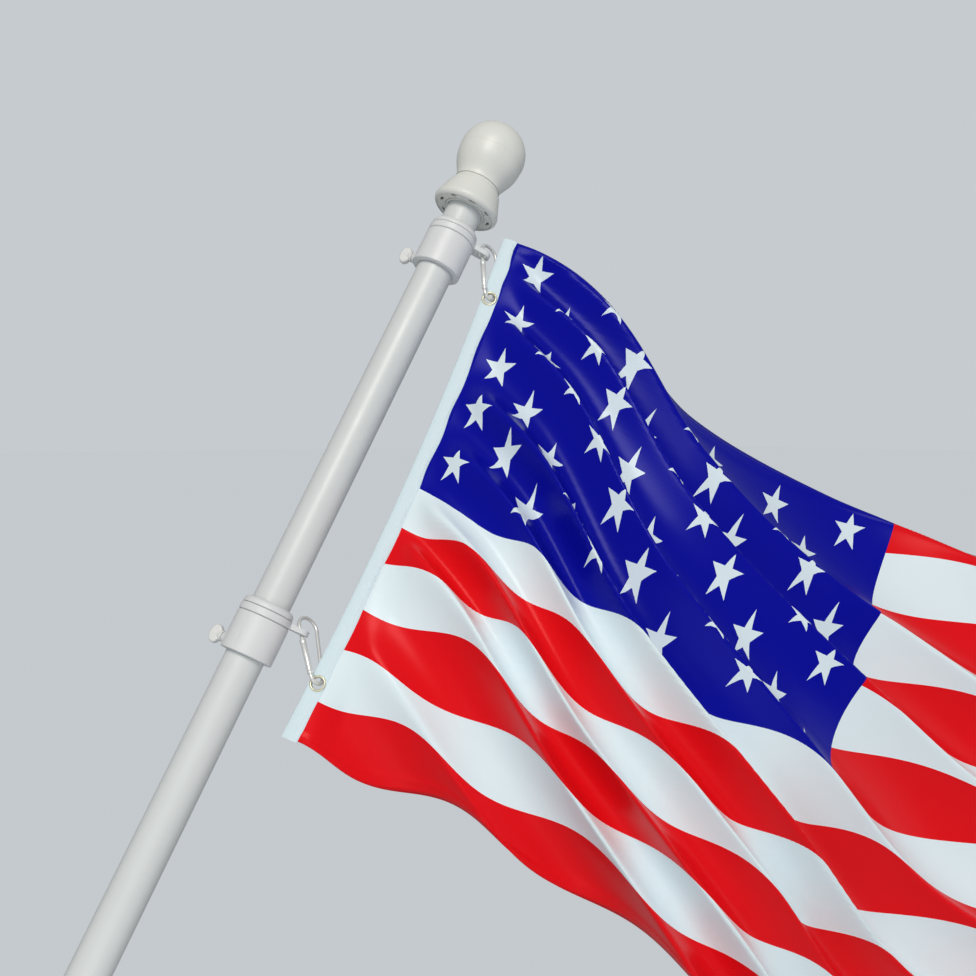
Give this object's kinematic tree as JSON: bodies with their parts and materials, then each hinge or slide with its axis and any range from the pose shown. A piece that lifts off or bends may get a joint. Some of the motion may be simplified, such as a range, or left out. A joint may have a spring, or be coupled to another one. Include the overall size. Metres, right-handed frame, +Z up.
{
  "type": "wall-mounted flagpole",
  "caption": "House flagpole: sectional white tube leaning out of a two-socket wall bracket, ball finial, two swivel anti-wrap rings with snaps, striped national flag",
  "frame": {"origin": "centre of the wall bracket's screw circle, on its flat back face", "axes": "+X out of the wall, +Z up, +Y along the wall; the pole leans out in the XZ plane at 60 degrees above the horizontal"},
  "size_m": [1.4112, 0.491, 1.5046],
  "materials": {
    "cast_bracket": "satin white powder coat on cast aluminium",
    "white_tube": "satin white powder coat on aluminium tube",
    "white_plastic": "moulded white ABS, satin",
    "white_knob": "moulded white nylon",
    "bright_wire": "bright steel wire",
    "brass_eyelet": "pressed eyelet",
    "header_canvas": "white woven heading tape",
    "flag_fabric": "woven polyester, dyed stripes and canton"
  },
  "bodies": {
    "pole": {"bracket": "cast_bracket", "bracket_thumbscrew": "white_knob", "spare_thumbscrew": "white_knob", "pole_section_1": "white_tube", "pole_section_2": "white_tube", "pole_section_3": "white_tube", "pole_section_4": "white_tube", "finial_base": "white_plastic", "finial_ball": "white_plastic", "upper_ring_sleeve": "white_plastic", "upper_ring_cap": "white_plastic", "upper_ring_thumbscrew": "white_knob", "lower_ring_sleeve": "white_plastic", "lower_ring_cap": "white_plastic", "lower_ring_thumbscrew": "white_knob"},
    "flag_and_upper_ring": {"upper_swivel_ring": "white_plastic", "upper_snap": "bright_wire", "upper_snap_gate": "bright_wire", "upper_grommet": "brass_eyelet", "lower_grommet": "brass_eyelet", "flag_header": "header_canvas", "flag_cloth": "flag_fabric"},
    "lower_ring": {"lower_swivel_ring": "white_plastic", "lower_snap": "bright_wire", "lower_snap_gate": "bright_wire"}
  },
  "joints": [
    {"name": "upper_ring_swivel", "type": "hinge", "parent": "pole", "child": "flag_and_upper_ring", "pos_m": [0.8236, 0, 1.37109], "axis": [0.5, 0, 0.866], "continuous": true},
    {"name": "lower_ring_swivel", "type": "hinge", "parent": "pole", "child": "lower_ring", "pos_m": [0.6786, 0, 1.11994], "axis": [0.5, 0, 0.866], "continuous": true}
  ],
  "couplings": [
    {"joint": "lower_ring_swivel", "follows": "upper_ring_swivel", "ratio": 1}
  ]
}
